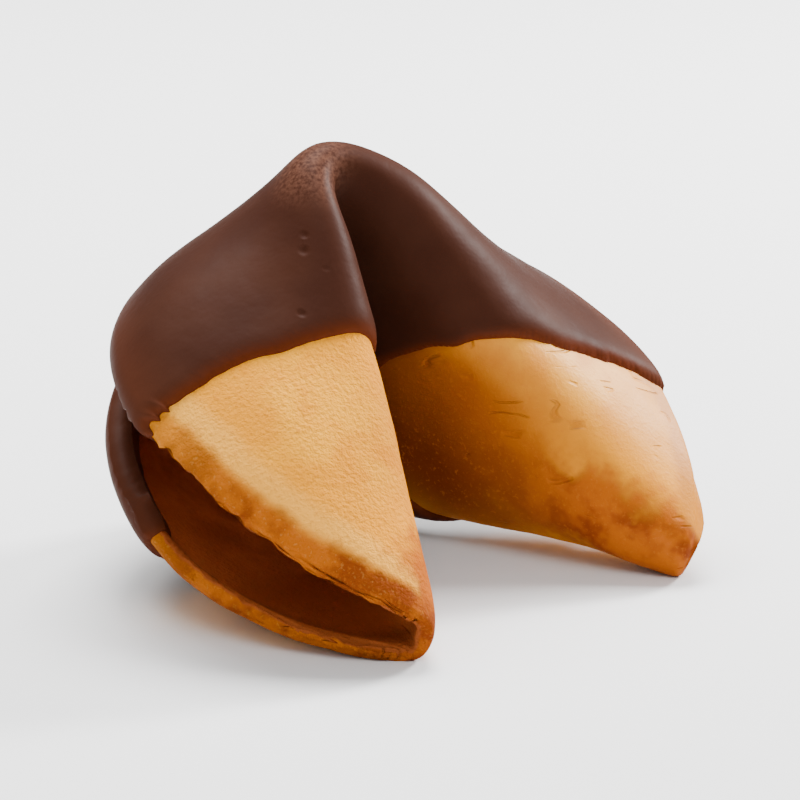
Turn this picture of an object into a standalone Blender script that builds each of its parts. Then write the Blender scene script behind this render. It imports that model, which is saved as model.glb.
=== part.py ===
"""Fortune cookie, its back half dipped in chocolate.

A thin round wafer is folded in half while hot, and its two ends are then bent down over a rim, so the
fold buckles inwards and a peak stands up above and below it. The wafer is modelled the same way: every
place on the flat round is carried to its place on the folded cookie. Metres, +Z up. The cookie lies on
its lower peak and on its two tips, with the notch between its lobes facing -Y and its seam at the back.
The origin is on the surface it lies on, below the middle of its bounding box.
"""
import math

import bmesh
import bpy
import numpy as np
from mathutils import Matrix, Vector

# The flat wafer.
DISC_RADIUS = 0.0380
WAFER = 0.0016

# The fold. x runs along the fold line towards the right lobe, y across it towards the upper layer.
PEAK = 0.0189            # from the fold line to the place that buckles into a peak
PEAK_BACK = 0.0010       # how far the peak stands behind the fold's middle
NOTCH_HALF = math.radians(16.0)   # between a wall of the notch and straight ahead
NOTCH_BEND = 0.0033      # radius at the fold's middle
RIM_RADIUS = 0.0231      # of the rim's outline round each lobe and the back
NOTCH_ROUND = 0.0023     # half the least width of the notch, at the peaks
NOTCH_FADE = 0.0060      # how far behind the peaks that widening dies out
FOLD_RADIUS = 0.00115    # of the round fold, measured to the middle of the wafer
CREASE_MIDDLE = 0.0032   # how far the wafer's bend spreads about each crease, at the peaks
CREASE_TIP = 0.0030      # and at the tips
CREASE_RIGHT = 0.0036    # what is added half way along the right crease, which is very round
CREASE_LEFT = -0.0010    # and half way along the left crease, which is sharper
SEAM_HALF = 0.0011       # from the mid plane to a layer where the seam is shut, at the back

# How far each layer's rim gapes from the mid plane, and where along the rim it gapes most.
GAPE_UPPER_LEFT = 0.0050
GAPE_LOWER_LEFT = 0.0038
GAPE_UPPER_RIGHT = 0.0025
GAPE_LOWER_RIGHT = 0.0030
GAPE_SKEW = 0.70

# How far the rim stands outside its round outline: half way along, and nearer the tip than the back.
SWELL_UPPER_LEFT = -0.0003
SWELL_LOWER_LEFT = -0.0010
SWELL_UPPER_RIGHT = 0.0004
SKEW_UPPER = -0.0005

# Uneven shape of the panels between peak and rim, of the notch's walls, and of the tips.
SAG_LEFT = 0.0008
LIP_LEFT = 0.0006
LIP_RIGHT = -0.0007
PANEL_LENGTH = 0.025     # of a fan line on which the panels sag by the full amount
BELLY_LEFT = 0.0009
BELLY_RIGHT = 0.0015
LOWER_SHARE = 0.94       # height of the lower layer, as a share of the upper one's
TIP_DROP_RIGHT = 0.0028
TIP_FLARE_RIGHT = 0.0017
TIP_REACH = 0.0360

# How far the rims of the left lobe curl towards each other, and on how broad a band.
CURL_UPPER = 0.0010
CURL_UPPER_WIDTH = 0.0040
CURL_LOWER = 0.0015
CURL_LOWER_WIDTH = 0.0055
CURL_START = 0.0100      # from the middle to where the curl is full
CURL_TIP = 0.0080        # from the fold line to where it is full

WAVE = 0.00022           # height of the slow waves in the wafer
WAVE_ALONG = 0.0190      # length of a wave along the fold
WAVE_ACROSS = 0.0233     # and across it
WAVE_START_ALONG = 1.1   # phase of the waves at the fold's middle
WAVE_START_ACROSS = 0.4

# The chocolate coat, which ends at a line across both lobes.
COAT = 0.0005
COAT_CLEARANCE = 0.0003
DIP_LEVEL = 0.0141       # in front of the fold's middle
DIP_SLANT = 0.229        # the line lies further forward on the right lobe
DIP_NOTCH = 0.0080       # how much further back it lies deep in the notch
DIP_NOTCH_TOP = 0.0096   # from the mid plane to where the line starts to fall back
DIP_NOTCH_HALF = 0.0090  # and how far to each side
DIP_LOW_MIDDLE = -0.0013  # how much further forward it lies on the lower layer, in the middle
DIP_LOW_CURVE = 9.3      # and more towards the sides
DIP_LOW_TOP = 0.0050     # above the mid plane, where that difference starts
DIP_LOW_SPAN = 0.0070    # and how far down it takes to be full

# How it lies: each foot is a small flat spot.
FOOT_PRESS = 0.00025
FOOT_REGION = 0.0080

# Mesh fineness. The strips run along the fold line, and the creases lie between two of them.
COLUMNS = 44
WALL_STRIPS = 6
PANEL_STRIPS = 11
MIDDLE_COLUMNS = 0.58    # width of the columns at the peaks, as a share of the mean
END_COLUMN = 0.93        # how far round the disc the last column stands, so each tip is a little blunt
SPREAD_SAMPLES = 40
LEAST_EDGE = 0.0005
ROOM_NEAREST = 0.0005
ROOM_SHARE = 0.9
ROOM_SLOPE = 0.4

LEVEL_STEPS = 8          # of turning the cookie until it stands on all three feet
SHARP_EDGE = math.radians(50.0)
QUARTER = math.pi / 2


def by_side(right, right_value, left_value):
    """A value of the right lobe or of the left lobe."""
    return np.where(right, right_value, left_value)


def half_way(share):
    """One half way along, and falling to nothing at both ends."""
    return 4.0 * share * (1.0 - share)


def notch(along):
    """The fold line seen from above, a length along it from its middle: a round bend, then straight."""
    full_turn = QUARTER - NOTCH_HALF
    turn = np.clip(along / NOTCH_BEND, 0.0, full_turn)
    straight = np.maximum(along - NOTCH_BEND * full_turn, 0.0)
    return (NOTCH_BEND * np.sin(turn) + straight * math.sin(NOTCH_HALF),
            -NOTCH_BEND * (1.0 - np.cos(turn)) - straight * math.cos(NOTCH_HALF))


def rim(angle, right, upper):
    """The folded rim, at an angle round the disc from the fold line (0) to the seam's middle (a quarter)."""
    tip_x, tip_y = notch(DISC_RADIUS)
    tip_turn = math.acos(tip_x / RIM_RADIUS)
    centre = tip_y + RIM_RADIUS * math.sin(tip_turn)
    share = np.clip(angle / QUARTER, 0.0, 1.0)
    turn = tip_turn - (tip_turn + QUARTER) * share
    gape = np.where(upper, by_side(right, GAPE_UPPER_RIGHT, GAPE_UPPER_LEFT),
                    by_side(right, GAPE_LOWER_RIGHT, GAPE_LOWER_LEFT))
    swell = np.where(upper, by_side(right, SWELL_UPPER_RIGHT, SWELL_UPPER_LEFT),
                     by_side(right, 0.0, SWELL_LOWER_LEFT))
    skew = np.where(upper, SKEW_UPPER, 0.0)
    radius = RIM_RADIUS + swell * np.sin(np.pi * share) + skew * np.sin(2.0 * np.pi * share)
    height = SEAM_HALF * np.sin(share * QUARTER) + gape * np.sin(np.pi * share ** GAPE_SKEW)
    return np.stack([radius * np.cos(turn), centre - radius * np.sin(turn), height], -1)


def creased(x, y):
    """Carries a place on the flat wafer to the folded cookie, with every crease still sharp.

    Each half of a layer is a fan of straight lines out of the peak: a wall of the notch that stands on
    the fold line, as far as the crease that runs to the tip, then a panel that ends at the rim.
    """
    right, upper = x >= 0.0, y >= 0.0
    across, along = np.abs(x), np.abs(y) - PEAK
    reach = np.hypot(across, along) + 1e-9
    bearing = np.arctan2(across, -along)
    tip_bearing = math.atan2(DISC_RADIUS, PEAK)

    # Where the line from the peak through this place meets the disc's edge.
    lead = PEAK * along / reach
    edge = np.sqrt(lead ** 2 + DISC_RADIUS ** 2 - PEAK ** 2) - lead
    angle = np.arctan2(np.maximum(PEAK + edge * along / reach, 0.0), edge * across / reach)

    peak = np.array([0.0, PEAK_BACK, PEAK])
    line = rim(angle, right, upper) - peak
    step = 1e-3
    run = rim(angle + step, right, upper) - rim(angle - step, right, upper)
    outward = np.cross(line, run)
    outward /= np.linalg.norm(outward, axis=-1, keepdims=True) + 1e-12
    part = reach / edge
    inside = np.clip((bearing - tip_bearing) / (np.pi - tip_bearing), 0.0, 1.0)
    fade = np.sin(np.pi * inside) * edge / PANEL_LENGTH
    bulge = (-by_side(right, 0.0, SAG_LEFT) * np.sin(np.pi * part)
             - by_side(right, LIP_RIGHT, LIP_LEFT) * np.sin(2.0 * np.pi * part)) * fade
    panel = peak + (reach / edge)[..., None] * line + bulge[..., None] * outward

    down = np.maximum(1.0 - np.abs(y) / PEAK, 1e-6)
    fold_x, fold_y = notch(np.minimum(across / down, 3.0 * DISC_RADIUS))
    share = np.clip(across / DISC_RADIUS, 0.0, 1.0)
    height = np.clip(np.abs(y) / np.maximum(PEAK * (1.0 - share), LEAST_EDGE), 0.0, 1.0)
    belly = by_side(right, BELLY_RIGHT, BELLY_LEFT) * half_way(share) * np.sin(np.pi * height)
    wall = np.stack([down * fold_x - belly, (1.0 - down) * PEAK_BACK + down * fold_y, np.abs(y)], -1)

    in_wall = (bearing < tip_bearing) & (along < 0.0)
    place = np.where(in_wall[..., None], wall, panel)

    # The walls never come nearer than the round of the bend between them.
    bend = NOTCH_ROUND * np.sin(np.clip(across / NOTCH_ROUND, 0.0, QUARTER))
    bend = bend * np.clip(1.0 - along / NOTCH_FADE, 0.0, 1.0)
    place[..., 0] = np.hypot(place[..., 0], bend)

    place[..., 0] *= by_side(right, 1.0, -1.0)
    place[..., 2] *= np.where(upper, 1.0, -1.0)
    return place


def folded(x, y):
    """The folded cookie with its creases rounded, as the hot wafer bends: the mean over a round patch."""
    share = np.abs(x) / DISC_RADIUS
    spread = CREASE_MIDDLE + (CREASE_TIP - CREASE_MIDDLE) * share
    spread += by_side(x >= 0.0, CREASE_RIGHT, CREASE_LEFT) * half_way(share)
    golden = np.pi * (3.0 - math.sqrt(5.0))
    place = 0.0
    for k in range(SPREAD_SAMPLES):
        radius = spread * math.sqrt((k + 0.5) / SPREAD_SAMPLES)
        place = place + creased(x + radius * math.cos(golden * k), y + radius * math.sin(golden * k))
    place = place / SPREAD_SAMPLES

    upper = y >= 0.0
    layer = np.where(upper, 1.0, -1.0)
    to_rim = DISC_RADIUS - np.hypot(x, y)
    curl = np.clip(1.0 - to_rim / np.where(upper, CURL_UPPER_WIDTH, CURL_LOWER_WIDTH), 0.0, 1.0) ** 2
    curl *= np.clip(-x / CURL_START, 0.0, 1.0) * np.clip(np.abs(y) / CURL_TIP, 0.0, 1.0)
    place[..., 2] -= layer * np.where(upper, CURL_UPPER, CURL_LOWER) * curl
    place[..., 2] *= np.where(upper, 1.0, LOWER_SHARE)

    # The two layers never come nearer than the round of the fold between them.
    fold = FOLD_RADIUS * np.sin(np.clip(np.abs(y) / FOLD_RADIUS, 0.0, QUARTER))
    place[..., 2] = layer * np.hypot(np.maximum(place[..., 2] * layer, 0.0), fold)

    forward = np.clip(-place[..., 1] / TIP_REACH, 0.0, 1.0) ** 2
    place[..., 0] += forward ** 2 * by_side(x >= 0.0, TIP_FLARE_RIGHT, 0.0)
    place[..., 2] -= forward * by_side(x >= 0.0, TIP_DROP_RIGHT, 0.0)
    along = np.sin(2.0 * np.pi * x / WAVE_ALONG + WAVE_START_ALONG)
    across = np.sin(2.0 * np.pi * y / WAVE_ACROSS + WAVE_START_ACROSS)
    place[..., 2] += WAVE * along * across
    return place


def new_sheet():
    """The middle surface of the folded wafer: a grid whose columns are cuts across the fold."""
    bm = bmesh.new()
    strips = WALL_STRIPS + PANEL_STRIPS
    bmesh.ops.create_grid(bm, x_segments=COLUMNS, y_segments=2 * strips, size=1.0)
    column = np.array([vert.co.x for vert in bm.verts])
    strip = np.array([vert.co.y for vert in bm.verts]) * strips
    turn = QUARTER * END_COLUMN * column * (MIDDLE_COLUMNS + (1.0 - MIDDLE_COLUMNS) * column ** 2)
    x = DISC_RADIUS * np.sin(turn)
    crease = PEAK * (1.0 - np.abs(x) / DISC_RADIUS)
    edge = DISC_RADIUS * np.cos(turn)
    in_wall = np.minimum(np.abs(strip) / WALL_STRIPS, 1.0)
    in_panel = np.maximum(np.abs(strip) - WALL_STRIPS, 0.0) / PANEL_STRIPS
    y = np.sign(strip) * (in_wall * crease + in_panel * (edge - crease))
    for vert, place in zip(bm.verts, folded(x, y)):
        vert.co = place
    bmesh.ops.remove_doubles(bm, verts=bm.verts, dist=LEAST_EDGE)
    bmesh.ops.triangulate(bm, faces=bm.faces)
    bmesh.ops.recalc_face_normals(bm, faces=bm.faces)
    # The outside of the upper layer looks up at the peak.
    top = max(bm.faces, key=lambda face: face.calc_center_median().z)
    if top.normal.z < 0.0:
        bmesh.ops.reverse_faces(bm, faces=bm.faces)
    bm.normal_update()
    return bm


def offsets(bm, distance, reach):
    """The step from each place of the sheet to an offset of it, which shrinks where the sheet is pinched.

    A pinched place has no room, on the side the offset lies, for a ball as large as the reach.
    """
    places = np.array([vert.co for vert in bm.verts])
    middles = [face.calc_center_median() for face in bm.faces]
    middles += [(edge.verts[0].co + edge.verts[1].co) / 2 for edge in bm.edges]
    others = np.concatenate([places, np.array(middles)])
    normals = np.array([vert.normal for vert in bm.verts])
    room = np.full(len(places), reach)
    for k, toward in enumerate(normals * math.copysign(1.0, distance)):
        away = others - places[k]
        square = (away ** 2).sum(axis=1)
        height = away @ toward
        facing = (square > ROOM_NEAREST ** 2) & (height > 0.0)
        balls = square[facing] / (2.0 * height[facing])
        room[k] = min(reach, ROOM_SHARE * balls.min(initial=1.0))
    apart = np.linalg.norm(places[:, None] - places[None], axis=2)
    room = (room + ROOM_SLOPE * apart).min(axis=1)
    return normals * (distance * room / reach)[:, None]


def thicken(bm, inner, outer, inner_reach, outer_reach):
    """Turns the sheet into a shell between two offsets from it, measured outwards."""
    rim_edges = [edge for edge in bm.edges if edge.is_boundary]
    sheet = bm.verts[:]
    inner_steps = offsets(bm, inner, inner_reach)
    outer_steps = offsets(bm, outer, outer_reach)
    copy = bmesh.ops.duplicate(bm, geom=bm.verts[:] + bm.edges[:] + bm.faces[:])
    twin = copy["vert_map"]
    inside_faces = [item for item in copy["geom"] if isinstance(item, bmesh.types.BMFace)]
    bmesh.ops.reverse_faces(bm, faces=inside_faces)
    for vert, inner_step, outer_step in zip(sheet, inner_steps, outer_steps):
        twin[vert].co = vert.co + Vector(inner_step)
        vert.co += Vector(outer_step)
    for edge in rim_edges:
        a, b = edge.verts
        bm.faces.new((a, b, twin[b], twin[a]))
    bmesh.ops.recalc_face_normals(bm, faces=bm.faces)


def dip_line(place):
    """How far the chocolate reaches in front of the fold's middle, beside or above a place."""
    deep = max(1.0 - (place.z / DIP_NOTCH_TOP) ** 2, 0.0) * math.exp(-(place.x / DIP_NOTCH_HALF) ** 4)
    low = min(max((DIP_LOW_TOP - place.z) / DIP_LOW_SPAN, 0.0), 1.0)
    return (DIP_LEVEL + DIP_SLANT * place.x - DIP_NOTCH * deep
            + low * (DIP_LOW_MIDDLE + DIP_LOW_CURVE * place.x ** 2))


def cut_at_dip(bm):
    """Keeps only the dipped back of the sheet: the curved line is made straight, cut and curved again."""
    for vert in bm.verts:
        vert.co.y += dip_line(vert.co)
    bmesh.ops.bisect_plane(bm, geom=bm.verts[:] + bm.edges[:] + bm.faces[:], dist=1e-6,
                           plane_co=(0.0, 0.0, 0.0), plane_no=(0.0, -1.0, 0.0), clear_outer=True)
    for vert in bm.verts:
        vert.co.y -= dip_line(vert.co)
    bm.normal_update()


def stance(places):
    """The turn that sets the folded cookie down on its lower peak and its two tips."""
    front = FOOT_REGION - TIP_REACH
    peak = [place for place in places if abs(place.x) < FOOT_REGION and place.y > -FOOT_REGION]
    left_tip = [place for place in places if place.x < 0.0 and place.y < front]
    right_tip = [place for place in places if place.x > 0.0 and place.y < front]
    turn = Matrix.Identity(3)
    for _ in range(LEVEL_STEPS):
        feet = [min((turn @ place for place in foot), key=lambda place: place.z)
                for foot in (peak, left_tip, right_tip)]
        up = (feet[1] - feet[0]).cross(feet[2] - feet[0]).normalized()
        if up.z < 0.0:
            up.negate()
        turn = up.rotation_difference(Vector((0.0, 0.0, 1.0))).to_matrix() @ turn
    return turn


def press_flat(bm):
    """Cuts away what would reach below the surface the cookie lies on, and closes each cut flat."""
    bmesh.ops.bisect_plane(bm, geom=bm.verts[:] + bm.edges[:] + bm.faces[:], dist=1e-6,
                           plane_co=(0.0, 0.0, 0.0), plane_no=(0.0, 0.0, 1.0), clear_inner=True)
    bmesh.ops.holes_fill(bm, edges=[edge for edge in bm.edges if edge.is_boundary])


def add_piece(name, bm, colour, roughness):
    """Makes the finished body an object with a plain material of its own."""
    mesh = bpy.data.meshes.new(name)
    bmesh.ops.triangulate(bm, faces=bm.faces)
    bmesh.ops.recalc_face_normals(bm, faces=bm.faces)
    bm.to_mesh(mesh)
    bm.free()
    mesh.shade_smooth()
    mesh.set_sharp_from_angle(angle=SHARP_EDGE)
    material = bpy.data.materials.new(name)
    material.use_nodes = True
    shader = material.node_tree.nodes["Principled BSDF"]
    shader.inputs["Base Color"].default_value = (*colour, 1.0)
    shader.inputs["Roughness"].default_value = roughness
    shader.inputs["Metallic"].default_value = 0.0
    mesh.materials.append(material)
    piece = bpy.data.objects.new(name, mesh)
    bpy.context.scene.collection.objects.link(piece)
    return piece


for old in list(bpy.data.objects):
    bpy.data.objects.remove(old)

coat_outside = WAFER / 2 + COAT_CLEARANCE + COAT
cookie = new_sheet()
thicken(cookie, -WAFER / 2, WAFER / 2, WAFER, coat_outside)
coat = new_sheet()
cut_at_dip(coat)
thicken(coat, WAFER / 2 + COAT_CLEARANCE, coat_outside, coat_outside, coat_outside)

turn = stance([vert.co.copy() for bm in (cookie, coat) for vert in bm.verts])
for bm in (cookie, coat):
    bmesh.ops.transform(bm, matrix=turn.to_4x4(), verts=bm.verts)
lowest = min(vert.co.z for bm in (cookie, coat) for vert in bm.verts)
for bm in (cookie, coat):
    bmesh.ops.translate(bm, vec=(0.0, 0.0, -lowest - FOOT_PRESS), verts=bm.verts)
    press_flat(bm)

spans = []
for axis in (0, 1):
    values = [vert.co[axis] for bm in (cookie, coat) for vert in bm.verts]
    spans.append((min(values) + max(values)) / 2)
for bm in (cookie, coat):
    bmesh.ops.translate(bm, vec=(-spans[0], -spans[1], 0.0), verts=bm.verts)

add_piece("cookie_wafer", cookie, (0.62, 0.36, 0.13), 0.62)
add_piece("chocolate_coat", coat, (0.085, 0.030, 0.019), 0.38)
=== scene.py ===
import math

import bmesh
import bpy
import numpy as np
from mathutils import Matrix, Vector, kdtree, noise


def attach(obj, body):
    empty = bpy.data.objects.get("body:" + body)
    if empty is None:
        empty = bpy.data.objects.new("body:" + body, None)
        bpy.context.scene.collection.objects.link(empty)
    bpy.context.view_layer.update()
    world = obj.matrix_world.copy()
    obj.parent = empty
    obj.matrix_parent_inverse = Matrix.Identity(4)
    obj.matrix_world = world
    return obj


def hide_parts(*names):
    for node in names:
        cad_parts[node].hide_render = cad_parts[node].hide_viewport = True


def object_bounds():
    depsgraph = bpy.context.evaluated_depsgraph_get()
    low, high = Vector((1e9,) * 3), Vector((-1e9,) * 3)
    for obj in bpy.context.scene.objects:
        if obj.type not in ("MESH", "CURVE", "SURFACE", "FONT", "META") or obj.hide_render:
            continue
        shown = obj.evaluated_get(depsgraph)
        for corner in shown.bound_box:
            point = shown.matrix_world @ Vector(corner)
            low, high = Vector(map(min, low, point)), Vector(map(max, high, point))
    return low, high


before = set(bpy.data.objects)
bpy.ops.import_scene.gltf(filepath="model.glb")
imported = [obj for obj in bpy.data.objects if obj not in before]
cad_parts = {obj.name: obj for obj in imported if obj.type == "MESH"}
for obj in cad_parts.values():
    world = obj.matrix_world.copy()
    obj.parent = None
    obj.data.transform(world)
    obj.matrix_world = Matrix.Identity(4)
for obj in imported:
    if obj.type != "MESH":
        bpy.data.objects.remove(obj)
cad_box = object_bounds()

# ---------------------------------------------------------------------------------------------
# The wafer: a flat round of thin batter, baked crisp. While it is hot it is folded in half, and its
# two ends are bent down over a cup's rim, so the fold buckles inwards and a peak stands up above and
# below.

# Its sizes as it is folded. On the flat wafer x runs along the fold, and y across it to the upper layer.
DISC_RADIUS = 0.0380
WAFER = 0.0016
PEAK = 0.0189
PEAK_BACK = 0.0010
NOTCH_HALF = math.radians(16.0)
NOTCH_BEND = 0.0033
NOTCH_ROUND = 0.0023
NOTCH_FADE = 0.0060
RIM_RADIUS = 0.0231
FOLD_RADIUS = 0.00115
CREASE_MIDDLE, CREASE_TIP, CREASE_LEFT, CREASE_RIGHT = 0.0032, 0.0030, -0.0010, 0.0036
SEAM_HALF = 0.0011
# How far each part's rim gapes and swells: upper right, upper left, lower right, lower left.
GAPES = (0.0025, 0.0050, 0.0030, 0.0038)
SWELLS = (0.0004, -0.0003, 0.0, -0.0010)
GAPE_SKEW = 0.70
SKEW_UPPER = -0.0005
SAG_LEFT = 0.0008
LIP_LEFT, LIP_RIGHT = 0.0006, -0.0007
PANEL_LENGTH = 0.025
BELLY_LEFT, BELLY_RIGHT = 0.0009, 0.0015
LOWER_SHARE = 0.94
TIP_DROP_RIGHT, TIP_FLARE_RIGHT, TIP_REACH = 0.0028, 0.0017, 0.0360
CURL_UPPER, CURL_UPPER_WIDTH = 0.0010, 0.0040
CURL_LOWER, CURL_LOWER_WIDTH = 0.0015, 0.0055
CURL_START, CURL_TIP = 0.0100, 0.0080
WAVE, WAVE_ALONG, WAVE_ACROSS = 0.00022, 0.0190, 0.0233
WAVE_PHASES = (1.1, 0.4)
CREASE_SAMPLES = 64
QUARTER = math.pi / 2


def by_part(right, upper, values):
    """The value of one of the four parts of the wafer: a lobe's upper or lower layer."""
    upper_right, upper_left, lower_right, lower_left = values
    return np.where(upper, np.where(right, upper_right, upper_left),
                    np.where(right, lower_right, lower_left))


def notch(along):
    """The fold line seen from above, a length along it from its middle: a round bend, then straight."""
    full_turn = QUARTER - NOTCH_HALF
    turn = np.clip(along / NOTCH_BEND, 0.0, full_turn)
    straight = np.maximum(along - NOTCH_BEND * full_turn, 0.0)
    return (NOTCH_BEND * np.sin(turn) + straight * math.sin(NOTCH_HALF),
            -NOTCH_BEND * (1.0 - np.cos(turn)) - straight * math.cos(NOTCH_HALF))


def rim(angle, right, upper):
    """The folded rim, at an angle round the wafer from the fold line to the seam's middle."""
    tip_x, tip_y = notch(DISC_RADIUS)
    tip_turn = math.acos(tip_x / RIM_RADIUS)
    centre = tip_y + RIM_RADIUS * math.sin(tip_turn)
    share = np.clip(angle / QUARTER, 0.0, 1.0)
    turn = tip_turn - (tip_turn + QUARTER) * share
    gape, swell = by_part(right, upper, GAPES), by_part(right, upper, SWELLS)
    radius = RIM_RADIUS + swell * np.sin(np.pi * share) + SKEW_UPPER * upper * np.sin(2.0 * np.pi * share)
    height = SEAM_HALF * np.sin(share * QUARTER) + gape * np.sin(np.pi * share ** GAPE_SKEW)
    return np.stack([radius * np.cos(turn), centre - radius * np.sin(turn), height], -1)


def creased(x, y):
    """Carries a place on the flat wafer to the folded one, with every crease still sharp.

    Each half of a layer is a fan of straight lines out of the peak: a wall of the notch that stands on
    the fold line, as far as the crease that runs to the tip, then a panel that ends at the rim. The
    smallest numbers only keep the divisions sound at the peak and at the tips.
    """
    right, upper = x >= 0.0, y >= 0.0
    across, along = np.abs(x), np.abs(y) - PEAK
    reach = np.hypot(across, along) + 1e-9
    bearing = np.arctan2(across, -along)
    tip_bearing = math.atan2(DISC_RADIUS, PEAK)
    lead = PEAK * along / reach
    edge = np.sqrt(lead ** 2 + DISC_RADIUS ** 2 - PEAK ** 2) - lead
    angle = np.arctan2(np.maximum(PEAK + edge * along / reach, 0.0), edge * across / reach)

    peak = np.array([0.0, PEAK_BACK, PEAK])
    line = rim(angle, right, upper) - peak
    near = 1e-3
    run = rim(angle + near, right, upper) - rim(angle - near, right, upper)
    outward = np.cross(line, run)
    outward /= np.linalg.norm(outward, axis=-1, keepdims=True) + 1e-12
    part = reach / edge
    inside = np.clip((bearing - tip_bearing) / (np.pi - tip_bearing), 0.0, 1.0)
    fade = np.sin(np.pi * inside) * edge / PANEL_LENGTH
    bulge = -fade * (np.where(right, 0.0, SAG_LEFT) * np.sin(np.pi * part)
                     + np.where(right, LIP_RIGHT, LIP_LEFT) * np.sin(2.0 * np.pi * part))
    panel = peak + part[..., None] * line + bulge[..., None] * outward

    down = np.maximum(1.0 - np.abs(y) / PEAK, 1e-6)
    fold_x, fold_y = notch(np.minimum(across / down, 3.0 * DISC_RADIUS))
    share = np.clip(across / DISC_RADIUS, 0.0, 1.0)
    height = np.clip(np.abs(y) / np.maximum(PEAK * (1.0 - share), 1e-4), 0.0, 1.0)
    belly = np.where(right, BELLY_RIGHT, BELLY_LEFT) * 4.0 * share * (1.0 - share) * np.sin(np.pi * height)
    wall = np.stack([down * fold_x - belly, (1.0 - down) * PEAK_BACK + down * fold_y, np.abs(y)], -1)
    in_wall = (bearing < tip_bearing) & (along < 0.0)
    place = np.where(in_wall[..., None], wall, panel)

    bend = NOTCH_ROUND * np.sin(np.clip(across / NOTCH_ROUND, 0.0, QUARTER))
    bend = bend * np.clip(1.0 - along / NOTCH_FADE, 0.0, 1.0)
    place[..., 0] = np.where(right, 1.0, -1.0) * np.hypot(place[..., 0], bend)
    place[..., 2] *= np.where(upper, 1.0, -1.0)
    return place


def folded(x, y):
    """The folded wafer with its creases rounded, its left rims curled and its right tip bent down."""
    share = np.abs(x) / DISC_RADIUS
    spread = CREASE_MIDDLE + (CREASE_TIP - CREASE_MIDDLE) * share
    spread += np.where(x >= 0.0, CREASE_RIGHT, CREASE_LEFT) * 4.0 * share * (1.0 - share)
    golden = np.pi * (3.0 - math.sqrt(5.0))
    place = 0.0
    for k in range(CREASE_SAMPLES):
        radius = spread * math.sqrt((k + 0.5) / CREASE_SAMPLES)
        place = place + creased(x + radius * math.cos(golden * k), y + radius * math.sin(golden * k))
    place = place / CREASE_SAMPLES

    upper = y >= 0.0
    layer = np.where(upper, 1.0, -1.0)
    to_rim = DISC_RADIUS - np.hypot(x, y)
    curl = np.clip(1.0 - to_rim / np.where(upper, CURL_UPPER_WIDTH, CURL_LOWER_WIDTH), 0.0, 1.3) ** 2
    curl *= np.clip(-x / CURL_START, 0.0, 1.0) * np.clip(np.abs(y) / CURL_TIP, 0.0, 1.0)
    place[..., 2] -= layer * np.where(upper, CURL_UPPER, CURL_LOWER) * curl
    place[..., 2] *= np.where(upper, 1.0, LOWER_SHARE)
    fold = FOLD_RADIUS * np.sin(np.clip(np.abs(y) / FOLD_RADIUS, 0.0, QUARTER))
    place[..., 2] = layer * np.hypot(np.maximum(place[..., 2] * layer, 0.0), fold)

    forward = np.clip(-place[..., 1] / TIP_REACH, 0.0, 1.0) ** 2
    place[..., 0] += forward ** 2 * np.where(x >= 0.0, TIP_FLARE_RIGHT, 0.0)
    place[..., 2] -= forward * np.where(x >= 0.0, TIP_DROP_RIGHT, 0.0)
    place[..., 2] += (WAVE * np.sin(2.0 * np.pi * x / WAVE_ALONG + WAVE_PHASES[0])
                      * np.sin(2.0 * np.pi * y / WAVE_ACROSS + WAVE_PHASES[1]))
    return place


# A grid is laid over the flat wafer, its columns across the fold, closer together towards the tips.
COLUMNS, WALL_STRIPS, PANEL_STRIPS = 200, 34, 66
COLUMN_TURN, COLUMN_EVEN = 0.93, 0.62

sheet = bmesh.new()
strips = WALL_STRIPS + PANEL_STRIPS
bmesh.ops.create_grid(sheet, x_segments=COLUMNS, y_segments=2 * strips, size=1.0)
column = np.array([vert.co.x for vert in sheet.verts])
strip = np.array([vert.co.y for vert in sheet.verts]) * strips
turn = QUARTER * COLUMN_TURN * column * (COLUMN_EVEN + (1.0 - COLUMN_EVEN) * column ** 2)
flat_x = DISC_RADIUS * np.sin(turn)
crease = PEAK * (1.0 - np.abs(flat_x) / DISC_RADIUS)
edge = DISC_RADIUS * np.cos(turn)
in_wall = np.minimum(np.abs(strip) / WALL_STRIPS, 1.0)
in_panel = np.sin(QUARTER * np.maximum(np.abs(strip) - WALL_STRIPS, 0.0) / PANEL_STRIPS)
flat_y = np.sign(strip) * (in_wall * crease + in_panel * (edge - crease))

# The rim is ragged, as spread batter bakes: three patterns, by depth, how fine they are and a seed.
# They fade towards the fold and the back, and the right lobe's rim is smoother.
RAGGED = ((0.00020, 40.0, 3.0), (0.00022, 90.0, 7.0), (0.00022, 9.0, 5.0))
RAGGED_REACH, RAGGED_RIGHT, RIM_TRIM = 0.0012, 0.3, 0.00010
FOLD_FADE, FOLD_LEAST, BACK_START, BACK_FADE, BACK_LEAST = 0.0080, 0.3, 0.0200, 0.0060, 0.25
to_rim = DISC_RADIUS - np.hypot(flat_x, flat_y)
around = np.arctan2(flat_y, flat_x)
ragged = np.array([sum(depth * noise.noise(Vector((fine * math.cos(angle), fine * math.sin(angle), seed)))
                       for depth, fine, seed in RAGGED) for angle in around])
ragged *= np.clip(np.abs(flat_y) / FOLD_FADE, FOLD_LEAST, 1.0)
ragged *= np.clip((np.abs(flat_x) - BACK_START) / BACK_FADE, BACK_LEAST, 1.0)
ragged = np.where(flat_x > 0.0, RAGGED_RIGHT * ragged, ragged)
pull = 1.0 + (ragged - RIM_TRIM) * np.clip(1.0 - to_rim / RAGGED_REACH, 0.0, 1.0) / DISC_RADIUS
flat_x, flat_y = flat_x * pull, flat_y * pull

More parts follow.
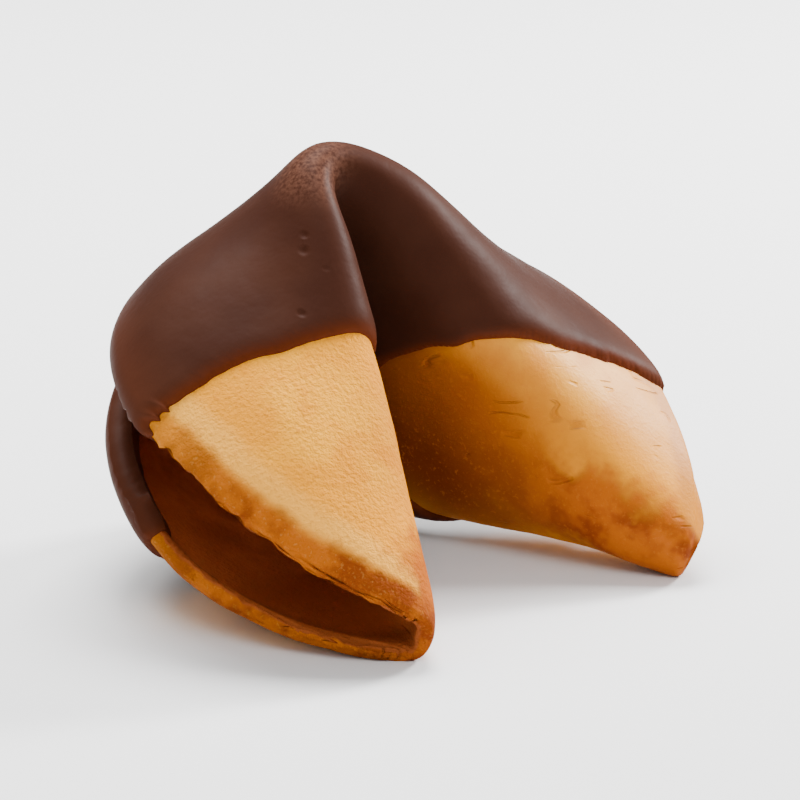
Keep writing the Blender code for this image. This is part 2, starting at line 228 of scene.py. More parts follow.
# Above the right tip the rim stands out in a blunt corner.
CORNER, CORNER_BEARING, CORNER_SPREAD, CORNER_REACH = 0.0008, 0.09, 0.11, 0.0080
corner = CORNER * np.exp(-((around - CORNER_BEARING) / CORNER_SPREAD) ** 2)
corner *= np.clip(1.0 - to_rim / CORNER_REACH, 0.0, 1.0)
flat_x, flat_y = flat_x + corner * np.cos(around), flat_y + corner * np.sin(around)

# The grid is folded. Each corner keeps its place on the flat wafer and the way on past the rim.
BEYOND = 0.01
beyond = folded(flat_x * (1.0 + BEYOND), flat_y * (1.0 + BEYOND)) - folded(flat_x, flat_y)
beyond /= BEYOND * DISC_RADIUS
flat_layer = sheet.verts.layers.float_vector.new("flat")
out_layer = sheet.verts.layers.float_vector.new("out")
in_layer = sheet.verts.layers.float_vector.new("in")
beyond_layer = sheet.verts.layers.float_vector.new("beyond")
sheet.verts.layers.float.new("inside")
sheet.verts.layers.float.new("thin_edge")
for vert, place, x, y, step in zip(sheet.verts, folded(flat_x, flat_y), flat_x, flat_y, beyond):
    vert.co = place
    vert[flat_layer] = (x, y, 0.0)
    vert[beyond_layer] = step
bmesh.ops.recalc_face_normals(sheet, faces=sheet.faces)
if max(sheet.faces, key=lambda face: face.calc_center_median().z).normal.z < 0.0:
    bmesh.ops.reverse_faces(sheet, faces=sheet.faces)
sheet.normal_update()

# It also keeps a step out of the wafer and one into it, which are shorter where a bend is tight: the
# largest ball that touches the sheet there and has none of it inside shows the room on each side.
OUTER_REACH = 0.0018
BALL_TRIES, BALL_TOUCHES, ROOM_USED, ROOM_PASSES, ROOM_SHARE = 4, 0.97, 0.9, 12, 0.6
tree = kdtree.KDTree(len(sheet.verts))
for k, vert in enumerate(sheet.verts):
    tree.insert(vert.co, k)
tree.balance()
pairs = np.array([[vert.index for vert in edge.verts] for edge in sheet.edges])
for layer, side, reach in ((out_layer, 1.0, OUTER_REACH), (in_layer, -1.0, WAFER)):
    room = np.ones(len(sheet.verts))
    for k, vert in enumerate(sheet.verts):
        toward = vert.normal * side
        radius = reach
        for _ in range(BALL_TRIES):
            nearest, _, distance = tree.find(vert.co + toward * radius)
            away = nearest - vert.co
            height = away.dot(toward)
            if distance > BALL_TOUCHES * radius or height < 1e-7:
                break
            radius = away.length_squared / (2.0 * height)
        room[k] = min(1.0, ROOM_USED * radius / reach)
    for _ in range(ROOM_PASSES):
        total, count = np.zeros(len(room)), np.zeros(len(room))
        for first, second in ((0, 1), (1, 0)):
            np.add.at(total, pairs[:, first], room[pairs[:, second]])
            np.add.at(count, pairs[:, first], 1.0)
        room = np.minimum(room, (1.0 - ROOM_SHARE) * room + ROOM_SHARE * total / count)
    for vert, share in zip(sheet.verts, room):
        vert[layer] = vert.normal * side * share


def close_shell(bm, outer, inner):
    """Makes the sheet a closed body between two new places of each corner.

    The inner side is marked, and the UVs are the places on the flat wafer.
    """
    rim_edges = [edge for edge in bm.edges if edge.is_boundary]
    first = bm.verts[:]
    copy = bmesh.ops.duplicate(bm, geom=bm.verts[:] + bm.edges[:] + bm.faces[:])
    twin = copy["vert_map"]
    bmesh.ops.reverse_faces(bm, faces=[item for item in copy["geom"] if isinstance(item, bmesh.types.BMFace)])
    inside = bm.verts.layers.float["inside"]
    for vert in first:
        twin[vert].co = inner[vert]
        twin[vert][inside] = 1.0
        vert.co = outer[vert]
    for edge in rim_edges:
        a, b = edge.verts
        bm.faces.new((a, b, twin[b], twin[a]))
    bmesh.ops.recalc_face_normals(bm, faces=bm.faces)
    flat = bm.verts.layers.float_vector["flat"]
    uv = bm.loops.layers.uv.new("flat_round")
    for face in bm.faces:
        for loop in face.loops:
            place = loop.vert[flat]
            loop[uv].uv = (0.5 + place.x / (2.0 * DISC_RADIUS), 0.5 + place.y / (2.0 * DISC_RADIUS))


# The wafer gets its thickness, rounded off at the rim and a little lumpy, most on the right lobe.
# Each pattern of lumps has a height and how fine it is, in turns per metre.
# The chocolate will start from a copy of the same folded sheet.
RIM_ROUND, RIM_THINNEST = 0.0008, 0.25
LUMPS = ((0.00006, 300.0), (0.00003, 900.0))
RIGHT_LUMP, RIGHT_LUMP_FINE, RIGHT_LUMP_FADE = 0.00010, 200.0, 0.010
coat_sheet = sheet.copy()
outer, inner = {}, {}
for vert in sheet.verts:
    flat = vert[flat_layer]
    to_rim = max(DISC_RADIUS - flat.length, 0.0)
    round_off = max(math.sqrt(1.0 - max(1.0 - to_rim / RIM_ROUND, 0.0) ** 2), RIM_THINNEST)
    lump = sum(height * noise.noise(flat * fine) for height, fine in LUMPS)
    to_right = min(max(flat.x / RIGHT_LUMP_FADE, 0.0), 1.0)
    lump += RIGHT_LUMP * noise.noise(flat * RIGHT_LUMP_FINE) * to_right
    outer[vert] = vert.co + vert[out_layer] * (WAFER / 2 * round_off + lump)
    inner[vert] = vert.co + vert[in_layer] * (WAFER / 2 * round_off + lump)
close_shell(sheet, outer, inner)


def new_piece(name, bm, material):
    mesh = bpy.data.meshes.new(name)
    bm.to_mesh(mesh)
    bm.free()
    mesh.shade_smooth()
    mesh.materials.append(material)
    piece = bpy.data.objects.new(name, mesh)
    bpy.context.scene.collection.objects.link(piece)
    return piece


def feed(tree, socket, value):
    """Gives an input a plain value, or links it to the output that carries its value."""
    if isinstance(value, bpy.types.NodeSocket):
        tree.links.new(value, socket)
    else:
        socket.default_value = value


def shader_node(tree, kind, **values):
    """A node with its settings and input values."""
    node = tree.nodes.new(kind)
    for name, value in values.items():
        if name in node.inputs.keys():
            feed(tree, node.inputs[name], value)
        else:
            setattr(node, name, value)
    return node


def calculate(tree, operation, *values):
    node = tree.nodes.new("ShaderNodeMath")
    node.operation = operation
    for socket, value in zip(node.inputs, values):
        feed(tree, socket, value)
    return node.outputs[0]


def times(tree, first, second):
    return calculate(tree, "MULTIPLY", first, second)


def ramp(tree, value, start, end):
    """Rises smoothly from nothing to one between two values."""
    node = shader_node(tree, "ShaderNodeMapRange", interpolation_type="SMOOTHSTEP", Value=value)
    node.inputs["From Min"].default_value = start
    node.inputs["From Max"].default_value = end
    return node.outputs["Result"]


def blend(tree, share, first, second):
    """Two colours mixed by a share."""
    node = shader_node(tree, "ShaderNodeMix", data_type="RGBA")
    for socket, value in ((node.inputs["Factor"], share), (node.inputs[6], first), (node.inputs[7], second)):
        feed(tree, socket, value)
    return node.outputs[2]


def away_from(tree, place, centre):
    """The distance of a place from a fixed point."""
    node = shader_node(tree, "ShaderNodeVectorMath", operation="DISTANCE", Vector=place)
    node.inputs[1].default_value = centre
    return node.outputs["Value"]


uneven = bpy.data.node_groups.new("uneven", "ShaderNodeTree")
uneven.interface.new_socket("Place", in_out="INPUT", socket_type="NodeSocketVector")
for name in ("Scale", "Detail", "Roughness", "Distortion"):
    uneven.interface.new_socket(name, in_out="INPUT", socket_type="NodeSocketFloat")
uneven.interface.new_socket("Value", in_out="OUTPUT", socket_type="NodeSocketFloat")
inlet, outlet = uneven.nodes.new("NodeGroupInput"), uneven.nodes.new("NodeGroupOutput")
texture = uneven.nodes.new("ShaderNodeTexNoise")
uneven.links.new(inlet.outputs["Place"], texture.inputs["Vector"])
for name in ("Scale", "Detail", "Roughness", "Distortion"):
    uneven.links.new(inlet.outputs[name], texture.inputs[name])
uneven.links.new(texture.outputs["Fac"], outlet.inputs["Value"])


def cloud(tree, place, size, detail=2.0, roughness=0.5, distortion=0.0):
    """Smooth unevenness with features of about a size in metres, centred on a half."""
    node = shader_node(tree, "ShaderNodeGroup", node_tree=uneven)
    for name, value in (("Place", place), ("Scale", 1.0 / size), ("Detail", detail),
                        ("Roughness", roughness), ("Distortion", distortion)):
        feed(tree, node.inputs[name], value)
    return node.outputs["Value"]


# The wafer's colours: golden on the open panels, a painted highlight just inside the left lobe's rim, brown
# at the rim and towards the tips, painted shade deep in the notch, and a red brown inside.
GOLD, DEEP_GOLD, WARM_GOLD = (0.76, 0.315, 0.008, 1.0), (0.66, 0.240, 0.004, 1.0), (0.68, 0.255, 0.004, 1.0)
HIGHLIGHT_GOLD, PALE_SPECK = (0.95, 0.50, 0.090, 1.0), (0.90, 0.50, 0.12, 1.0)
BROWN_SPECK, CRACK_BROWN = (0.45, 0.13, 0.012, 1.0), (0.26, 0.060, 0.004, 1.0)
TOAST, DARK_TOAST = (0.36, 0.084, 0.003, 1.0), (0.18, 0.030, 0.002, 1.0)
NOTCH_SHADE, LOW_WALL_SHADE = (0.22, 0.038, 0.003, 1.0), (0.10, 0.014, 0.002, 1.0)
INNER_RED, INNER_DEEP = (0.42, 0.092, 0.020, 1.0), (0.31, 0.060, 0.012, 1.0)
INNER_TIP, INNER_RIM = (0.40, 0.100, 0.022, 1.0), (0.20, 0.046, 0.010, 1.0)
# Where they begin and are full, on the flat wafer with a diameter of one: from its middle for the
# rim, from the fold line, along it from the notch, and to the right or the upper side.
FLAT_MIDDLE = (0.5, 0.5, 0.0)
HIGHLIGHT_FROM, HIGHLIGHT_UNTIL = (0.440, 0.460), (0.480, 0.468)
TOAST_RIM, INNER_RIM_BAND = (0.466, 0.481), (0.440, 0.475)
TOAST_FOLD, TOAST_TIP, RIM_TIP = (0.085, 0.025), (0.16, 0.40), (0.32, 0.45)
NOTCH_ALONG, NOTCH_ACROSS, LOW_WALL = (0.44, 0.22), (0.170, 0.060), (0.05, -0.05)
RIGHT_LOBE, RIGHT_SHINE = (0.02, 0.10), (0.06, 0.18)
# How much of each is seen, and the sizes of the baked pattern in metres.
HIGHLIGHT_SHARE, NOTCH_SHARE, LOW_WALL_SHARE, INNER_RIM_SHARE = 0.36, 0.85, 0.8, 0.75
SPECK_SHARE, CRACK_SHARE = 0.30, 0.30
MOTTLE, DRIFT, GRAIN, CRACKS, CRACK_PATCH = 0.0040, 0.0120, 0.00035, 0.0032, 0.0030
# Where each pattern, which swings about a half, begins to show and shows fully.
MOTTLED, TOAST_MOTTLED, DRIFTED = (0.35, 0.65), (0.40, 0.60), (0.42, 0.60)
BROWN_SPECKS, PALE_SPECKS = (0.56, 0.72), (0.42, 0.28)
CRACK_LINE, CRACK_PATCHES, IS_INSIDE = (0.030, 0.006), (0.58, 0.70), (0.60, 0.95)
RIM_UNEVEN, FOLD_UNEVEN = 0.018, 0.16
# The cracks run at a slant: how far each of their two directions turns along and across the fold.
CRACK_SLANT = ((0.026, 0.016), (-0.060, 0.094))
# The finish: a sandy left lobe and a smoother right one with a low shine.
ROUGH, ROUGH_RIGHT, ROUGH_MOTTLE, MATT, SHINE = 0.70, -0.22, 0.15, 0.05, 0.28
SAND, SAND_LEFT, CRACK_DEPTH, RELIEF = 0.2, 0.8, 0.8, 0.00022

wafer_skin = bpy.data.materials.new("baked_wafer")
wafer_skin.use_nodes = True
tree = wafer_skin.node_tree
shader = tree.nodes["Principled BSDF"]
here = tree.nodes.new("ShaderNodeTexCoord").outputs["Object"]
flat = shader_node(tree, "ShaderNodeUVMap", uv_map="flat_round").outputs["UV"]
split = shader_node(tree, "ShaderNodeSeparateXYZ", Vector=flat)
along = calculate(tree, "SUBTRACT", split.outputs[0], 0.5)
across = calculate(tree, "SUBTRACT", split.outputs[1], 0.5)
from_notch, from_fold = calculate(tree, "ABSOLUTE", along), calculate(tree, "ABSOLUTE", across)
mottle = cloud(tree, here, MOTTLE, 3.0, 0.6)
drift = cloud(tree, here, DRIFT)
grain = cloud(tree, here, GRAIN, 2.0, 0.6)
is_right = ramp(tree, along, *RIGHT_LOBE)
is_left = calculate(tree, "SUBTRACT", 1.0, is_right)
from_middle = calculate(tree, "ADD", away_from(tree, flat, FLAT_MIDDLE),
                        calculate(tree, "MULTIPLY_ADD", mottle, RIM_UNEVEN, -RIM_UNEVEN / 2))

golden = blend(tree, ramp(tree, mottle, *MOTTLED), GOLD, DEEP_GOLD)
golden = blend(tree, ramp(tree, drift, *DRIFTED), golden, WARM_GOLD)
# Painted highlight: a pale band just inside the left lobe's rim, where the light catches its curl.
highlight_ring = times(tree, ramp(tree, from_middle, *HIGHLIGHT_FROM), ramp(tree, from_middle, *HIGHLIGHT_UNTIL))
golden = blend(tree, times(tree, times(tree, highlight_ring, is_left), HIGHLIGHT_SHARE), golden, HIGHLIGHT_GOLD)

browned = blend(tree, ramp(tree, mottle, *TOAST_MOTTLED), TOAST, DARK_TOAST)
by_side = calculate(tree, "MULTIPLY_ADD", is_left, 0.62, 0.35)
by_tip = calculate(tree, "MULTIPLY_ADD", ramp(tree, from_notch, *RIM_TIP), 0.5, 0.5)
near_rim = times(tree, times(tree, ramp(tree, from_middle, *TOAST_RIM), by_side), by_tip)
fold_noise = calculate(tree, "MULTIPLY_ADD", mottle, FOLD_UNEVEN, -FOLD_UNEVEN / 2)
near_fold = ramp(tree, calculate(tree, "ADD", from_fold, fold_noise), *TOAST_FOLD)
to_tip = ramp(tree, from_notch, *TOAST_TIP)
skin = blend(tree, calculate(tree, "MAXIMUM", near_rim, times(tree, near_fold, to_tip)), golden, browned)
# Painted shade: the notch's walls are darkened where the lobes shade them, most on the lower layer's wall.
notch_shade = times(tree, ramp(tree, from_notch, *NOTCH_ALONG), ramp(tree, from_fold, *NOTCH_ACROSS))
skin = blend(tree, times(tree, notch_shade, NOTCH_SHARE), skin, NOTCH_SHADE)
low_wall_shade = times(tree, ramp(tree, across, *LOW_WALL), notch_shade)
skin = blend(tree, times(tree, low_wall_shade, LOW_WALL_SHARE), skin, LOW_WALL_SHADE)

# Brown and pale specks as fine as sugar, and fine cracks across the right lobe.
skin = blend(tree, times(tree, ramp(tree, grain, *BROWN_SPECKS), SPECK_SHARE), skin, BROWN_SPECK)
pale_share = calculate(tree, "MULTIPLY_ADD", is_left, 0.08, 0.02)
skin = blend(tree, times(tree, ramp(tree, grain, *PALE_SPECKS), pale_share), skin, PALE_SPECK)
slanted = shader_node(tree, "ShaderNodeCombineXYZ")
for socket, (by_along, by_across) in zip(slanted.inputs, CRACK_SLANT):
    feed(tree, socket, calculate(tree, "MULTIPLY_ADD", along, by_along, times(tree, across, by_across)))
crack_pattern = cloud(tree, slanted.outputs[0], CRACKS, 1.0, 0.5, 0.3)
crack_line = calculate(tree, "ABSOLUTE", calculate(tree, "SUBTRACT", crack_pattern, 0.5))
crack_patch = times(tree, ramp(tree, cloud(tree, here, CRACK_PATCH, 1.0), *CRACK_PATCHES), is_right)
cracks = times(tree, ramp(tree, crack_line, *CRACK_LINE), crack_patch)
skin = blend(tree, times(tree, cracks, CRACK_SHARE), skin, CRACK_BROWN)

inside = shader_node(tree, "ShaderNodeAttribute", attribute_name="inside").outputs["Fac"]
inner_brown = blend(tree, ramp(tree, mottle, *MOTTLED), INNER_RED, INNER_DEEP)
inner_brown = blend(tree, to_tip, inner_brown, INNER_TIP)
inner_rim = times(tree, ramp(tree, from_middle, *INNER_RIM_BAND), INNER_RIM_SHARE)
inner_brown = blend(tree, inner_rim, inner_brown, INNER_RIM)
skin = blend(tree, ramp(tree, inside, *IS_INSIDE), skin, inner_brown)
feed(tree, shader.inputs["Base Color"], skin)

rough = calculate(tree, "MULTIPLY_ADD", is_right, ROUGH_RIGHT, ROUGH)
feed(tree, shader.inputs["Roughness"], calculate(tree, "MULTIPLY_ADD", mottle, ROUGH_MOTTLE, rough))
shine = times(tree, is_right, ramp(tree, across, *RIGHT_SHINE))
feed(tree, shader.inputs["Specular IOR Level"], calculate(tree, "MULTIPLY_ADD", shine, SHINE, MATT))
sand = times(tree, grain, calculate(tree, "MULTIPLY_ADD", is_left, SAND_LEFT, SAND))
relief = calculate(tree, "SUBTRACT", sand, times(tree, cracks, CRACK_DEPTH))
bump = shader_node(tree, "ShaderNodeBump", Strength=0.9, Distance=RELIEF, Height=relief)
feed(tree, shader.inputs["Normal"], bump.outputs["Normal"])

wafer = new_piece("wafer", sheet, wafer_skin)
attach(wafer, "root")
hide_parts("cookie_wafer")

# ---------------------------------------------------------------------------------------------
# The chocolate: the back half of the cookie is dipped in melted chocolate and set on its side. It
# lies on the wafer in a thin satin coat, wraps over the rims, and ends in a thin, uneven edge.
COAT, COAT_TAPER, EDGE_WIDTH = 0.0007, 0.0018, 0.0007
# The line where it ends: how far in front of the fold's middle, its slant to the right, how much
# further back it lies deep in the notch, by height and width, and how it swings round low down.
LINE_FRONT, LINE_SLANT = 0.0145, 0.229
NOTCH_BACK, NOTCH_HEIGHT, NOTCH_WIDTH = 0.0080, 0.0096, 0.0090
LOW_HEIGHT, LOW_FADE, LOW_SWING, LOW_BACK = 0.0050, 0.0070, 9.3, 0.0013
# It is uneven, by depth, how fine and a seed, and frayed beside the left lobe's rim.
UNEVEN = ((0.00025, 300.0, 1.0), (0.00010, 1100.0, 2.0))
FRAYED, FRAYED_FINE, FRAYED_SEED, FRAYED_FROM, FRAYED_FADE = 0.00022, 900.0, 4.0, 0.0150, 0.0060
# Tongues where it ran past its line, by place, length and width; burst air bubbles, by place on the
# flat wafer, radius and depth.
TONGUES = ((-0.0219, 0.0060, 0.0012, 0.00017), (-0.0212, 0.0064, 0.0007, 0.00014),
           (-0.0206, 0.0068, 0.0005, 0.00012), (0.0055, 0.0083, 0.0006, 0.00045))
TONGUE_HEIGHT = 0.0018
BUBBLES = ((-0.0091, 0.0179, 0.00030, 0.00010), (-0.0105, 0.0177, 0.00036, 0.00014),
           (-0.0161, 0.0168, 0.00032, 0.00013), (-0.0116, 0.0158, 0.00022, 0.00006))
BUBBLE_LIP, LIP_PLACE, LIP_WIDTH = 0.15, 1.4, 0.4


def dip_line(place):
    """How far in front of the fold's middle the chocolate ends, beside or above a place."""
    deep = max(1.0 - (place.z / NOTCH_HEIGHT) ** 2, 0.0) * math.exp(-(place.x / NOTCH_WIDTH) ** 4)
    low = min(max((LOW_HEIGHT - place.z) / LOW_FADE, 0.0), 1.0)
    line = LINE_FRONT + LINE_SLANT * place.x - NOTCH_BACK * deep + low * (LOW_SWING * place.x ** 2 - LOW_BACK)
    frayed = FRAYED * min(max((-place.x - FRAYED_FROM) / FRAYED_FADE, 0.0), 1.0)
    for depth, fine, seed in UNEVEN + ((frayed, FRAYED_FINE, FRAYED_SEED),):
        line += depth * noise.noise(Vector((place.x * fine, place.z * fine, seed)))
    for x, z, length, width in TONGUES:
        line += length * math.exp(-((place.x - x) / width) ** 2 - ((place.z - z) / TONGUE_HEIGHT) ** 2)
    return line


# The sheet is made finer twice round the bubbles and the left tongues, by place and reach on the
# flat wafer, and cut at the line.
BUBBLE_REACH, SECOND_REACH, LEFT_TONGUES = 0.0012, 0.7, (-0.0260, 0.0258, 0.0030)
bm = coat_sheet
flat_layer = bm.verts.layers.float_vector["flat"]
out_layer = bm.verts.layers.float_vector["out"]
in_layer = bm.verts.layers.float_vector["in"]
beyond_layer = bm.verts.layers.float_vector["beyond"]
for x, y, fine in [(x, y, BUBBLE_REACH) for x, y, radius, depth in BUBBLES] + [LEFT_TONGUES]:
    centre = Vector((x, y, 0.0))
    for reach in (fine, SECOND_REACH * fine):
        close = [edge for edge in bm.edges
                 if all((vert[flat_layer] - centre).length < reach for vert in edge.verts)]
        bmesh.ops.subdivide_edges(bm, edges=close, cuts=1, use_grid_fill=True)
bmesh.ops.triangulate(bm, faces=[face for face in bm.faces if len(face.verts) > 4])
for vert in bm.verts:
    vert.co.y += dip_line(vert.co)
bmesh.ops.bisect_plane(bm, geom=bm.verts[:] + bm.edges[:] + bm.faces[:], dist=1e-7,
                       plane_co=(0.0, 0.0, 0.0), plane_no=(0.0, -1.0, 0.0), clear_outer=True)

# The coat is laid on it. It is thicker in one patch right of the peak, by thickness, place and
# spread, and thinner over the lower peak, where it ran off. Over the rims it stands out and wraps
# round to an uneven line inside.
PATCH, PATCH_X, PATCH_Y, PATCH_WIDE, PATCH_DEEP = 0.00035, 0.0075, 0.0200, 0.0045, 0.0040
RUN_OFF, RUN_OFF_WIDE, RUN_OFF_DEEP = 0.0005, 0.0060, 0.0050
RIM_BEND, RIM_THIN, RIM_OUT_UPPER, RIM_OUT_LOWER = 0.0010, 0.8, 0.0004, 0.00015
WRAP, WRAP_UNEVEN, WRAP_FINE, WRAP_FADE, WRAP_THICK = 0.0026, 0.0007, 500.0, 0.0008, 0.0004
COAT_LUMP, COAT_LUMP_FINE, SUNK = 0.00005, 250.0, 0.0002
outer, inner = {}, {}
edge_layer = bm.verts.layers.float["thin_edge"]
for vert in bm.verts:
    to_line = max(vert.co.y, 0.0)
    vert.co.y -= dip_line(vert.co)
    flat = vert[flat_layer]
    to_rim = max(DISC_RADIUS - flat.length, 0.0)
    taper = math.sqrt(1.0 - max(1.0 - to_line / COAT_TAPER, 0.0) ** 2)
    vert[edge_layer] = math.exp(-(to_line / EDGE_WIDTH) ** 2)
    over_rim = max(1.0 - to_rim / RIM_BEND, 0.0)
    round_off = math.sqrt(max(1.0 - RIM_THIN * over_rim ** 2, 0.0))
    lump = COAT_LUMP * noise.noise(flat * COAT_LUMP_FINE)
    out = (WAFER / 2 + COAT * taper) * round_off + lump * taper
    out += PATCH * math.exp(-((flat.x - PATCH_X) / PATCH_WIDE) ** 2 - ((flat.y - PATCH_Y) / PATCH_DEEP) ** 2)
    out -= RUN_OFF * taper * math.exp(-(flat.x / RUN_OFF_WIDE) ** 2 - ((flat.y + PEAK) / RUN_OFF_DEEP) ** 2)
    for x, y, radius, depth in BUBBLES:
        away = math.hypot(flat.x - x, flat.y - y) / radius
        out += depth * (BUBBLE_LIP * math.exp(-((away - LIP_PLACE) / LIP_WIDTH) ** 2) - math.exp(-away ** 2))
    wrap = (WRAP + WRAP_UNEVEN * noise.noise(flat * WRAP_FINE) - to_rim) / WRAP_FADE
    wrap = min(max(wrap, 0.0), 1.0)
    back = WAFER / 2 + WRAP_THICK * taper * math.sqrt(wrap)
    vert.co += vert[beyond_layer] * ((RIM_OUT_UPPER if flat.y > 0.0 else RIM_OUT_LOWER) * taper * over_rim)
    outer[vert] = vert.co + vert[out_layer] * out
    on_wafer = vert[out_layer] * (WAFER / 2 - SUNK)
    inner[vert] = vert.co + (on_wafer * (1.0 - wrap) + vert[in_layer] * back * wrap)
close_shell(bm, outer, inner)

# Its colours: redder where it is thin over the wafer, lighter over the rims, a painted speckled highlight
# round the peak, and dusted with a few crumbs.
COCOA, DEEP_COCOA = (0.046, 0.0150, 0.0080, 1.0), (0.036, 0.0110, 0.0060, 1.0)
THIN_COCOA, RIM_COCOA = (0.11, 0.020, 0.004, 1.0), (0.078, 0.022, 0.010, 1.0)
PEAK_HIGHLIGHT, CRUMB = (0.20, 0.085, 0.052, 1.0), (0.34, 0.17, 0.090, 1.0)
THIN_SHARE, RIM_SHARE, PEAK_HIGHLIGHT_SHARE = 0.7, 0.5, 0.45
FLAT_PEAK = (0.470, 0.752, 0.0)
COAT_RIM, PEAK_HIGHLIGHT_REACH, CRUMB_SIZE = (0.450, 0.495), (0.070, 0.010), (0.034, 0.018)
CRUMB_CELLS, CRUMBS_LEFT_OUT = 160.0, 0.6
COAT_DRIFT, RIPPLE = 0.0090, 0.0014
SATIN, SATIN_RIPPLE, GLOSS, COAT_GRAIN, COAT_RELIEF = 0.42, 0.12, 0.022, 0.12, 0.0001

chocolate_skin = bpy.data.materials.new("milk_chocolate")
chocolate_skin.use_nodes = True
tree = chocolate_skin.node_tree
shader = tree.nodes["Principled BSDF"]
here = tree.nodes.new("ShaderNodeTexCoord").outputs["Object"]
flat = shader_node(tree, "ShaderNodeUVMap", uv_map="flat_round").outputs["UV"]
brown = blend(tree, ramp(tree, cloud(tree, here, COAT_DRIFT), *MOTTLED), COCOA, DEEP_COCOA)
thin = shader_node(tree, "ShaderNodeAttribute", attribute_name="thin_edge").outputs["Fac"]
brown = blend(tree, times(tree, thin, THIN_SHARE), brown, THIN_COCOA)
over_rim = ramp(tree, away_from(tree, flat, FLAT_MIDDLE), *COAT_RIM)
brown = blend(tree, times(tree, over_rim, RIM_SHARE), brown, RIM_COCOA)
grain = cloud(tree, here, GRAIN, 2.0, 0.6)
# Painted highlight: a pale speckled patch round the peak stands in for the sheen there.
peak_highlight = times(tree, ramp(tree, away_from(tree, flat, FLAT_PEAK), *PEAK_HIGHLIGHT_REACH), ramp(tree, grain, 0.25, 0.75))
brown = blend(tree, times(tree, peak_highlight, PEAK_HIGHLIGHT_SHARE), brown, PEAK_HIGHLIGHT)
crumbs = shader_node(tree, "ShaderNodeTexVoronoi", Vector=here, Scale=CRUMB_CELLS)
chance = shader_node(tree, "ShaderNodeSeparateColor", Color=crumbs.outputs["Color"]).outputs[0]
crumb = times(tree, ramp(tree, crumbs.outputs["Distance"], *CRUMB_SIZE),
              calculate(tree, "GREATER_THAN", chance, CRUMBS_LEFT_OUT))
feed(tree, shader.inputs["Base Color"], blend(tree, crumb, brown, CRUMB))
ripple = cloud(tree, here, RIPPLE)
feed(tree, shader.inputs["Roughness"], calculate(tree, "MULTIPLY_ADD", ripple, SATIN_RIPPLE, SATIN))
shader.inputs["Specular IOR Level"].default_value = GLOSS
relief = calculate(tree, "ADD", ripple, calculate(tree, "MULTIPLY_ADD", grain, COAT_GRAIN, crumb))
bump = shader_node(tree, "ShaderNodeBump", Strength=0.4, Distance=COAT_RELIEF, Height=relief)
feed(tree, shader.inputs["Normal"], bump.outputs["Normal"])

coat = new_piece("chocolate", coat_sheet, chocolate_skin)
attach(coat, "root")
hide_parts("chocolate_coat")

# ---------------------------------------------------------------------------------------------
# The cookie as it lies: both pieces are turned from the fold's own axes until it rests on its two
# tips and the lower peak. These are pressed a little flat, and the whole is fitted to its size.
STANCE = Matrix(((0.9973, -0.0240, -0.0694), (-0.0068, 0.9107, -0.4130), (0.0731, 0.4123, 0.9081)))
FOOT_PRESS = 0.00025
made = []
for piece in (wafer, coat):
    piece.data.transform(STANCE.to_4x4())
    places = np.empty(3 * len(piece.data.vertices), np.float32)
    piece.data.vertices.foreach_get("co", places)
    made.append(places.reshape(-1, 3).astype(float))
low = np.min([places.min(axis=0) for places in made], axis=0) + (0.0, 0.0, FOOT_PRESS)
high = np.max([places.max(axis=0) for places in made], axis=0)
bottom, top = np.array(cad_box[0]), np.array(cad_box[1])
for piece, places in zip((wafer, coat), made):
    fitted = bottom + np.clip((places - low) / (high - low), 0.0, 1.0) * (top - bottom)
    piece.data.vertices.foreach_set("co", fitted.astype(np.float32).ravel())
    piece.data.update()

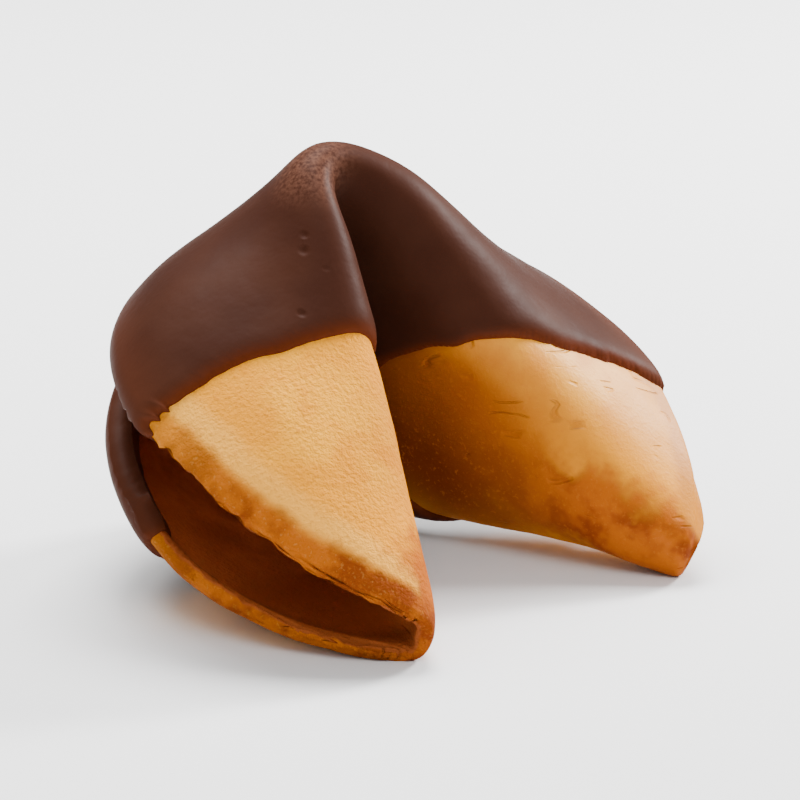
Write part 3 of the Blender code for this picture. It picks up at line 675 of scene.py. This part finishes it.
# ---------------------------------------------------------------------------------------------
# The floor: a plain, dull, pale table top.
FLOOR_HALF, FLOOR_GREY, FLOOR_ROUGHNESS = 1.5, (0.80, 0.80, 0.80, 1.0), 0.9
bm = bmesh.new()
bmesh.ops.create_grid(bm, x_segments=1, y_segments=1, size=FLOOR_HALF)
floor_mesh = bpy.data.meshes.new("floor")
bm.to_mesh(floor_mesh)
bm.free()
floor = bpy.data.objects.new("floor", floor_mesh)
bpy.context.scene.collection.objects.link(floor)
paper = bpy.data.materials.new("pale_floor")
paper.use_nodes = True
paper.node_tree.nodes["Principled BSDF"].inputs["Base Color"].default_value = FLOOR_GREY
paper.node_tree.nodes["Principled BSDF"].inputs["Roughness"].default_value = FLOOR_ROUGHNESS
floor_mesh.materials.append(paper)

# ---------------------------------------------------------------------------------------------
# The lights: a soft box high behind on the right, a small strong one on the right, weak ones behind
# and in front, and a bright surround. Each is given by its place, its width and its power in watts.
SURROUND = 0.65
LIT_PLACE = Vector((0.0, 0.0, 0.015))
LIGHTS = (("overhead", (0.144, 0.122, 0.410), 0.22, 4.4), ("back", (0.03, 0.26, 0.37), 0.16, 1.4),
          ("right", (0.39, -0.02, 0.22), 0.09, 4.0), ("front", (-0.16, -0.22, 0.36), 0.24, 1.0))
world = bpy.data.worlds.new("studio")
world.use_nodes = True
world.node_tree.nodes["Background"].inputs["Color"].default_value = (1.0, 1.0, 1.0, 1.0)
world.node_tree.nodes["Background"].inputs["Strength"].default_value = SURROUND
bpy.context.scene.world = world
for name, place, size, power in LIGHTS:
    light = bpy.data.lights.new(name, "AREA")
    light.size = size
    light.energy = power
    lamp = bpy.data.objects.new(name, light)
    lamp.location = place
    lamp.rotation_euler = (LIT_PLACE - Vector(place)).to_track_quat("-Z", "Y").to_euler()
    bpy.context.scene.collection.objects.link(lamp)

# ---------------------------------------------------------------------------------------------
# The camera: a long lens a third of a metre away, to the left of the notch and a little above it.
CAMERA_PLACE, CAMERA_AIM = Vector((-0.21098, -0.23350, 0.10552)), Vector((0.00089, -0.00102, 0.01381))
CAMERA_ROLL, LENS = math.radians(0.31), 184.7
camera = bpy.data.objects.new("camera", bpy.data.cameras.new("camera"))
camera.data.lens = LENS
camera.data.sensor_width = 36.0
camera.data.clip_start = 0.01
camera.location = CAMERA_PLACE
facing = (CAMERA_AIM - CAMERA_PLACE).to_track_quat("-Z", "Y").to_matrix()
camera.rotation_euler = (facing @ Matrix.Rotation(CAMERA_ROLL, 3, "Z")).to_euler()
bpy.context.scene.collection.objects.link(camera)
bpy.context.scene.camera = camera
